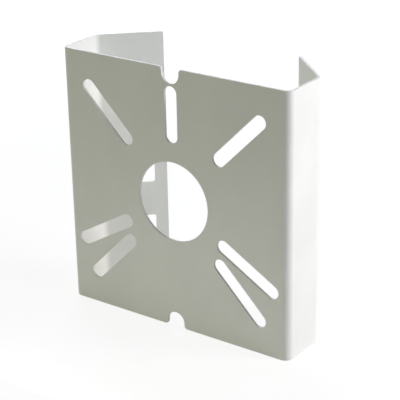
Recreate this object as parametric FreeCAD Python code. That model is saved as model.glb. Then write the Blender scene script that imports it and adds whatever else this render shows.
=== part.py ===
import FreeCAD, Part
import math
import os

# A camera pole bracket: one sheet of steel, punched and then folded along four upright lines.
# X runs across the plate, Y back towards the pole, Z up.
# The origin is the middle of the cable hole, on the plate's front face. All sizes are in mm.

# The folded sheet
sheet = 1.5
plate_width = 150.0
plate_height = 152.5
wall_depth = 29.5  # front face to the rear fold, measured to its sharp corner
flange_length = 38.8  # the rear fold's sharp corner to the free edge
flange_angle = 43.0  # between the flange and the plate, in degrees
front_bend_radius = 3.0  # inside the folds between the plate and the walls
rear_bend_radius = 4.5  # inside the gentler folds between the walls and the flanges
free_corner_round = 1.0

# The cable hole and the slots that point at it
cable_hole_diameter = 46.3
slot_width = 8.0
corner_slot_angle = 45.0  # above and below the horizontal, in degrees
corner_slot_start = 43.6  # hole's middle to the middle of the slot's inner end
low_slot_angle = 30.0  # below the horizontal, in degrees
low_slot_start = 38.1
long_slot_travel = 36.3  # between the middles of a slot's two ends
top_slot_start = 38.1
top_slot_travel = 24.1

# The U-shaped notches at the middle of the plate's top and bottom edges
notch_width = 11.3
notch_depth = 8.8
notch_mouth_round = 2.0

# The slots for the pole's bands, three in each flange
band_slot_width = 10.0  # along the flange
band_slot_margin = 7.4  # metal between the slot and the free edge
middle_band_slot_height = 31.4
outer_band_slot_height = 20.0
band_slot_bridge = 21.4  # metal between two neighbouring slots
band_slot_corner = 1.2

# Every cutting tool runs past both faces of the sheet by this much
overshoot = 1.0

lean = math.radians(flange_angle)
along_left_flange = FreeCAD.Vector(math.cos(lean), math.sin(lean), 0)
into_left_flange = FreeCAD.Vector(math.sin(lean), -math.cos(lean), 0)
left_fold = FreeCAD.Vector(-plate_width / 2, wall_depth, 0)
left_free_edge = left_fold + along_left_flange * flange_length


def line(start, end):
    return Part.LineSegment(start, end).toShape()


def arc(start, middle, end):
    return Part.Arc(start, middle, end).toShape()


def mirrored(point):
    return FreeCAD.Vector(-point.x, point.y, point.z)


def sheet_corners():
    # The outer face's sharp corners, from the left free edge round the front to the right one
    left_front = FreeCAD.Vector(-plate_width / 2, 0, 0)
    left_half = [left_free_edge, left_fold, left_front]
    right_half = [mirrored(corner) for corner in reversed(left_half)]
    return left_half + right_half


def inset(corners, distance):
    # The same run of corners moved to its left, with every leg parallel to where it was
    up = FreeCAD.Vector(0, 0, 1)
    sides = [up.cross((end - start).normalize()) for start, end in zip(corners, corners[1:])]
    moved = []
    for corner, before, after in zip(corners, sides[:1] + sides, sides + sides[-1:]):
        moved.append(corner + (before + after) * (distance / (1 + before.dot(after))))
    return moved


def folded_run(corners, radii):
    # Straight legs, joined at each corner by an arc that is tangent to both
    edges = []
    start = corners[0]
    for before, corner, after, radius in zip(corners, corners[1:], corners[2:], radii):
        back = (before - corner).normalize()
        ahead = (after - corner).normalize()
        half_angle = back.getAngle(ahead) / 2
        reach = radius / math.tan(half_angle)
        gap = radius / math.sin(half_angle) - radius
        arc_start = corner + back * reach
        arc_end = corner + ahead * reach
        edges.append(line(start, arc_start))
        edges.append(arc(arc_start, corner + (back + ahead).normalize() * gap, arc_end))
        start = arc_end
    edges.append(line(start, corners[-1]))
    return edges


def folded_sheet():
    outer = sheet_corners()
    inner = inset(outer, sheet)
    inside = [rear_bend_radius, front_bend_radius, front_bend_radius, rear_bend_radius]
    outside = [radius + sheet for radius in inside]
    edges = folded_run(outer, outside) + folded_run(inner, inside)
    edges.append(line(outer[0], inner[0]))
    edges.append(line(outer[-1], inner[-1]))
    section = Part.Face(Part.Wire(Part.__sortEdges__(edges)))
    section.translate(FreeCAD.Vector(0, 0, -plate_height / 2))
    return section.extrude(FreeCAD.Vector(0, 0, plate_height))


def on_plate(outward, across):
    # A point of a cutting profile. Every profile is drawn pointing right from the hole's middle.
    return FreeCAD.Vector(outward, -overshoot, across)


def through_plate(edges, angle):
    # The profile as a solid that runs through the plate, turned up from the right by the angle
    tool = Part.Face(Part.Wire(edges)).extrude(FreeCAD.Vector(0, sheet + 2 * overshoot, 0))
    tool.rotate(FreeCAD.Vector(0, 0, 0), FreeCAD.Vector(0, -1, 0), angle)
    return tool


def cable_hole():
    length = sheet + 2 * overshoot
    return Part.makeCylinder(cable_hole_diameter / 2, length, on_plate(0, 0), FreeCAD.Vector(0, 1, 0))


def slot(angle, start, travel):
    half = slot_width / 2
    end = start + travel
    edges = [
        line(on_plate(start, -half), on_plate(end, -half)),
        arc(on_plate(end, -half), on_plate(end + half, 0), on_plate(end, half)),
        line(on_plate(end, half), on_plate(start, half)),
        arc(on_plate(start, half), on_plate(start - half, 0), on_plate(start, -half)),
    ]
    return through_plate(edges, angle)


def slots():
    tools = [slot(90, top_slot_start, top_slot_travel)]
    for side in (0, 180):
        for slope in (corner_slot_angle, -corner_slot_angle):
            tools.append(slot(side + slope, corner_slot_start, long_slot_travel))
    for angle in (-low_slot_angle, 180 + low_slot_angle):
        tools.append(slot(angle, low_slot_start, long_slot_travel))
    return tools


def notch(angle):
    # Cut in from the sheet's edge, with a round floor and both corners of its mouth rounded
    half = notch_width / 2
    mouth = half + notch_mouth_round
    mouth_middle = half + notch_mouth_round * (1 - math.sqrt(0.5))
    edge = plate_height / 2
    neck = edge - notch_mouth_round
    neck_middle = edge - notch_mouth_round * (1 - math.sqrt(0.5))
    floor = edge - notch_depth
    beyond = edge + overshoot
    edges = [
        line(on_plate(beyond, -mouth), on_plate(beyond, mouth)),
        line(on_plate(beyond, mouth), on_plate(edge, mouth)),
        arc(on_plate(edge, mouth), on_plate(neck_middle, mouth_middle), on_plate(neck, half)),
        line(on_plate(neck, half), on_plate(floor + half, half)),
        arc(on_plate(floor + half, half), on_plate(floor, 0), on_plate(floor + half, -half)),
        line(on_plate(floor + half, -half), on_plate(neck, -half)),
        arc(on_plate(neck, -half), on_plate(neck_middle, -mouth_middle), on_plate(edge, -mouth)),
        line(on_plate(edge, -mouth), on_plate(beyond, -mouth)),
    ]
    return through_plate(edges, angle)


def band_slot(height, middle_z):
    # A rectangle with rounded corners, cut square through the left flange
    depth = sheet + 2 * overshoot
    corner = FreeCAD.Vector(-band_slot_width / 2, -depth / 2, -height / 2)
    tool = Part.makeBox(band_slot_width, depth, height, corner)
    through_edges = [edge for edge in tool.Edges if abs(edge.tangentAt(edge.FirstParameter).y) > 0.5]
    tool = tool.makeFillet(band_slot_corner, through_edges)
    tool.rotate(FreeCAD.Vector(0, 0, 0), FreeCAD.Vector(0, 0, 1), flange_angle)
    middle = left_free_edge - along_left_flange * (band_slot_margin + band_slot_width / 2)
    middle = middle + into_left_flange * (sheet / 2) + FreeCAD.Vector(0, 0, middle_z)
    tool.translate(middle)
    return tool


def band_slots():
    outer_z = middle_band_slot_height / 2 + band_slot_bridge + outer_band_slot_height / 2
    left = [
        band_slot(middle_band_slot_height, 0),
        band_slot(outer_band_slot_height, outer_z),
        band_slot(outer_band_slot_height, -outer_z),
    ]
    right = [tool.mirror(FreeCAD.Vector(0, 0, 0), FreeCAD.Vector(1, 0, 0)) for tool in left]
    return left + right


def round_free_corners(bracket):
    # The four corners where a flange's free edge meets the sheet's top and bottom edges
    free_middle = left_free_edge + into_left_flange * (sheet / 2)
    corners = []
    for middle in (free_middle, mirrored(free_middle)):
        for z in (-plate_height / 2, plate_height / 2):
            corners.append(FreeCAD.Vector(middle.x, middle.y, z))
    edges = []
    for edge in bracket.Edges:
        if any(edge.CenterOfMass.distanceToPoint(corner) < sheet / 4 for corner in corners):
            edges.append(edge)
    return bracket.makeFillet(free_corner_round, edges)


def bracket():
    notches = [notch(90), notch(270)]
    tools = [cable_hole()] + slots() + notches + band_slots()
    return round_free_corners(folded_sheet().cut(tools))


os.makedirs("parts", exist_ok=True)
bracket().exportStep("parts/bracket.step")
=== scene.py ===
import bpy
import math
from mathutils import Matrix, Vector


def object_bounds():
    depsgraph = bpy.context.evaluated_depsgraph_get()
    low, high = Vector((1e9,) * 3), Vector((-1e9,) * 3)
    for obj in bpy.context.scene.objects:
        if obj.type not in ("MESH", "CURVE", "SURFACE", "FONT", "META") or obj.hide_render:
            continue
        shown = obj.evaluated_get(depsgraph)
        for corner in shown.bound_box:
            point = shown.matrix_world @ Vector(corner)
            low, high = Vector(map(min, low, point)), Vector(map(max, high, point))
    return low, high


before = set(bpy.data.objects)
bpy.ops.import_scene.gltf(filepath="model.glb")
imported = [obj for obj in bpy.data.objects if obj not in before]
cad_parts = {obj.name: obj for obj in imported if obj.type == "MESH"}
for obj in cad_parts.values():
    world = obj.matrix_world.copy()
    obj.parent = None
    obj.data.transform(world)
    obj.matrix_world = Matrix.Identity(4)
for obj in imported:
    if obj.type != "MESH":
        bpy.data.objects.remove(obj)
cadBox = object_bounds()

# Pole bracket for a camera, folded from one sheet and powder coated light grey.
# Everything is in metres. The middle of the cable hole is the origin and Z is up.

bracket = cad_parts["bracket"]
underside = cadBox[0][2]
print("bracket loaded, standing at", round(underside, 4))


viewpoint = {
    "aim": (0.0117, 0.0090, 0.0008),
    "azimuth": 36.226,  # degrees round to the bracket's right
    "elevation": 22.563,
    "roll": -1.104,
    "distance": 0.7564,
    "lens": 124.656,  # mm
    "sensor": 36,  # mm across
    "drawnFrom": 0.01,  # how near and how far from the camera things are drawn
    "drawnTo": 50,
}


def placeCamera():
    turn = (
        Matrix.Rotation(math.radians(viewpoint["azimuth"]), 4, "Z")
        @ Matrix.Rotation(math.radians(90 - viewpoint["elevation"]), 4, "X")
        @ Matrix.Rotation(math.radians(viewpoint["roll"]), 4, "Z")
    )
    away = Vector((0, 0, viewpoint["distance"]))
    camera = bpy.data.objects.new("camera", bpy.data.cameras.new("camera"))
    camera.matrix_world = Matrix.Translation(Vector(viewpoint["aim"]) + turn @ away) @ turn
    camera.data.lens = viewpoint["lens"]
    camera.data.sensor_width = viewpoint["sensor"]
    camera.data.clip_start = viewpoint["drawnFrom"]
    camera.data.clip_end = viewpoint["drawnTo"]
    bpy.context.collection.objects.link(camera)
    bpy.context.scene.camera = camera


placeCamera()
print("camera placed")


# The next three help to build every material
def addNode(tree, kind, **settings):
    node = tree.nodes.new(kind)
    for name, value in settings.items():
        if hasattr(node, name):
            setattr(node, name, value)
        else:
            node.inputs[name].default_value = value
    return node


def join(tree, source, outlet, target, inlet):
    tree.links.new(source.outputs[outlet], target.inputs[inlet])


def shaded(colour, share):
    return tuple(channel * share for channel in colour) + (1,)


coat = {
    "colour": (0.80, 0.81, 0.775),
    "colourDrift": 0.025,  # share that the colour gains and loses over a few centimetres
    "driftSize": 0.035,
    "driftDetail": 3,
    "driftRoughness": 0.55,
    "driftEnds": (0.3, 0.7),  # heights of the noise where the colour has drifted all the way
    "roughness": 0.44,
    "roughnessDrift": 0.05,
    "ior": 1.5,
    "peelSize": 0.0014,  # the slow ripple of the coating
    "peelDetail": 1,
    "peelDepth": 0.00004,
    "grainSize": 0.00035,  # the fine grain on top of the ripple
    "grainDetail": 2,
    "grainDepth": 0.000012,
    "edgeRadius": 0.00016,  # the coating rounds every cut edge
    "edgeSteps": 3,
    "edgeFrom": 50,  # degrees between two faces that meet at a cut edge
    "flatWithin": 0.2,  # degrees between two faces of one flat side
    "seamGap": 0.000001,
}


def powderCoat():
    material = bpy.data.materials.new("lightGreyPowderCoat")
    material.use_nodes = True
    tree = material.node_tree
    shader = tree.nodes["Principled BSDF"]
    shader.inputs["IOR"].default_value = coat["ior"]
    place = addNode(tree, "ShaderNodeTexCoord")

    # Colour and gloss drift slowly across the sheet
    drift = addNode(tree, "ShaderNodeTexNoise", Scale=1 / coat["driftSize"])
    drift.inputs["Detail"].default_value = coat["driftDetail"]
    drift.inputs["Roughness"].default_value = coat["driftRoughness"]
    join(tree, place, "Object", drift, "Vector")
    tint = addNode(tree, "ShaderNodeValToRGB")
    dark, light = tint.color_ramp.elements
    dark.position, light.position = coat["driftEnds"]
    dark.color = shaded(coat["colour"], 1 - coat["colourDrift"])
    light.color = shaded(coat["colour"], 1 + coat["colourDrift"])
    join(tree, drift, "Fac", tint, "Fac")
    join(tree, tint, "Color", shader, "Base Color")
    gloss = addNode(tree, "ShaderNodeMapRange")
    gloss.inputs["To Min"].default_value = coat["roughness"] - coat["roughnessDrift"]
    gloss.inputs["To Max"].default_value = coat["roughness"] + coat["roughnessDrift"]
    join(tree, drift, "Fac", gloss, "Value")
    join(tree, gloss, "Result", shader, "Roughness")

    # Ripple first, then the grain on it
    peel = addNode(tree, "ShaderNodeTexNoise", Scale=1 / coat["peelSize"], Detail=coat["peelDetail"])
    join(tree, place, "Object", peel, "Vector")
    ripple = addNode(tree, "ShaderNodeBump", Distance=coat["peelDepth"])
    join(tree, peel, "Fac", ripple, "Height")
    grain = addNode(tree, "ShaderNodeTexNoise", Scale=1 / coat["grainSize"], Detail=coat["grainDetail"])
    join(tree, place, "Object", grain, "Vector")
    surface = addNode(tree, "ShaderNodeBump", Distance=coat["grainDepth"])
    join(tree, grain, "Fac", surface, "Height")
    join(tree, ripple, "Normal", surface, "Normal")
    join(tree, surface, "Normal", shader, "Normal")
    return material


def softenEdges():
    seams = bracket.modifiers.new("joinSeams", "WELD")
    seams.merge_threshold = coat["seamGap"]
    flats = bracket.modifiers.new("flatSides", "DECIMATE")
    flats.decimate_type = "DISSOLVE"
    flats.angle_limit = math.radians(coat["flatWithin"])
    edges = bracket.modifiers.new("softEdges", "BEVEL")
    edges.width = coat["edgeRadius"]
    edges.segments = coat["edgeSteps"]
    edges.limit_method = "ANGLE"
    edges.angle_limit = math.radians(coat["edgeFrom"])
    edges.use_clamp_overlap = False
    edges.loop_slide = False  # an even width all along, also where the flat sides are split
    shading = bracket.modifiers.new("evenShading", "WEIGHTED_NORMAL")
    shading.keep_sharp = False


def dressBracket():
    finish = powderCoat()
    for slot in bracket.material_slots:
        slot.material = finish
    softenEdges()


dressBracket()
print("bracket coated and its edges rounded")


studio = {
    "floorSize": 12.0,
    "floorColour": (0.88, 0.88, 0.87),
    "nearGlow": 0.84,  # white that is seen on the floor round the bracket, whatever falls on it
    "farGlow": 1.0,
    "nearReach": 0.3,  # the floor turns from the near glow to the far one between these distances
    "farReach": 0.9,
    "shadowShare": 0.3,  # share of the floor's own light and shadow that is seen on top of the glow
    "ambient": 0.12,
    "backdrop": 1.0,  # white
}


def seenDirectly(tree):
    # 1 for rays that show the surroundings: straight on, in a reflection or through glass
    path = addNode(tree, "ShaderNodeLightPath")
    first = addNode(tree, "ShaderNodeMath", operation="MAXIMUM")
    both = addNode(tree, "ShaderNodeMath", operation="MAXIMUM")
    join(tree, path, "Is Camera Ray", first, 0)
    join(tree, path, "Is Glossy Ray", first, 1)
    join(tree, first, "Value", both, 0)
    join(tree, path, "Is Transmission Ray", both, 1)
    return both


def paleFloor():
    material = bpy.data.materials.new("paleFloor")
    material.use_nodes = True
    tree = material.node_tree
    tree.nodes.clear()
    seen = seenDirectly(tree)
    lit = addNode(tree, "ShaderNodeMix", data_type="RGBA")
    lit.inputs["A"].default_value = shaded(studio["floorColour"], 1)
    lit.inputs["B"].default_value = shaded(studio["floorColour"], studio["shadowShare"])
    matt = addNode(tree, "ShaderNodeBsdfDiffuse")
    place = addNode(tree, "ShaderNodeTexCoord")
    distance = addNode(tree, "ShaderNodeVectorMath", operation="LENGTH")
    glow = addNode(tree, "ShaderNodeMapRange", interpolation_type="SMOOTHSTEP")
    glow.inputs["From Min"].default_value = studio["nearReach"]
    glow.inputs["From Max"].default_value = studio["farReach"]
    glow.inputs["To Min"].default_value = studio["nearGlow"]
    glow.inputs["To Max"].default_value = studio["farGlow"]
    strength = addNode(tree, "ShaderNodeMath", operation="MULTIPLY")
    white = addNode(tree, "ShaderNodeEmission")
    both = addNode(tree, "ShaderNodeAddShader")
    result = addNode(tree, "ShaderNodeOutputMaterial")
    join(tree, seen, "Value", lit, "Factor")
    join(tree, lit, "Result", matt, "Color")
    join(tree, place, "Object", distance, 0)
    join(tree, distance, "Value", glow, "Value")
    join(tree, seen, "Value", strength, 0)
    join(tree, glow, "Result", strength, 1)
    join(tree, strength, "Value", white, "Strength")
    join(tree, matt, "BSDF", both, 0)
    join(tree, white, "Emission", both, 1)
    join(tree, both, "Shader", result, "Surface")
    return material


def layFloor():
    half = studio["floorSize"] / 2
    corners = [(-half, -half, 0), (half, -half, 0), (half, half, 0), (-half, half, 0)]
    mesh = bpy.data.meshes.new("floor")
    mesh.from_pydata(corners, [], [(0, 1, 2, 3)])
    mesh.materials.append(paleFloor())
    floor = bpy.data.objects.new("floor", mesh)
    floor.location.z = underside
    bpy.context.collection.objects.link(floor)


def surround():
    world = bpy.data.worlds.new("whiteRoom")
    world.use_nodes = True
    tree = world.node_tree
    tree.nodes.clear()
    room = addNode(tree, "ShaderNodeBackground", Color=(1, 1, 1, 1), Strength=studio["ambient"])
    white = addNode(tree, "ShaderNodeBackground", Color=(1, 1, 1, 1), Strength=studio["backdrop"])
    blend = addNode(tree, "ShaderNodeMixShader")
    result = addNode(tree, "ShaderNodeOutputWorld")
    join(tree, seenDirectly(tree), "Value", blend, "Fac")
    join(tree, room, "Background", blend, 1)
    join(tree, white, "Background", blend, 2)
    join(tree, blend, "Shader", result, "Surface")
    bpy.context.scene.world = world


# Each lamp is turned to the cable hole, unless it has an aim of its own
lamps = {
    "sideBox": {  # low and behind the plate, so its front stays in the shade
        "at": (1.11, 0.55, 0.24),
        "size": (0.4, 0.4),
        "watts": 8.7,
        "colour": (1, 0.89, 0.85),
    },
    "highSideBox": {
        "at": (1.15, 0.32, 0.35),
        "size": (0.4, 0.4),
        "watts": 3.7,
        "colour": (0.7, 0.88, 1),
    },
    "edgeStrip": {  # level with the sheet, so the notches and the walls catch it and the plate doesn't
        "at": (1.04, 0.03, 0.73),
        "size": (0.05, 0.4),
        "watts": 1.9,
        "colour": (0.8, 0.85, 1),
    },
    "farLeftBox": {  # glints along the sheet's top edges
        "at": (-0.9, 0.95, 0.5),
        "size": (0.9, 0.9),
        "watts": 9.5,
        "colour": (0.86, 0.9, 1),
    },
    "frontFill": {
        "at": (-0.8, -0.95, 0.5),
        "size": (0.9, 0.9),
        "watts": 2.55,
        "colour": (0.99, 1, 0.52),
    },
    "tableCard": {  # a narrow card that lies in front of the plate and lifts its lower half
        "at": (0, -0.1, -0.072),
        "aim": (0, 0, -0.072),
        "size": (0.2, 0.006),
        "watts": 0.017,
        "colour": (0.98, 1, 0.97),
    },
}


def hangLamps():
    for name, lamp in lamps.items():
        light = bpy.data.lights.new(name, "AREA")
        light.shape = "RECTANGLE"
        light.size, light.size_y = lamp["size"]
        light.energy = lamp["watts"]
        light.color = lamp["colour"]
        holder = bpy.data.objects.new(name, light)
        holder.location = lamp["at"]
        away = Vector(lamp["at"]) - Vector(lamp.get("aim", (0, 0, 0)))
        holder.rotation_euler = away.to_track_quat("Z", "Y").to_euler()
        holder.visible_camera = False
        bpy.context.collection.objects.link(holder)


layFloor()
surround()
hangLamps()
bpy.context.scene.view_settings.view_transform = "Standard"
print("studio ready")
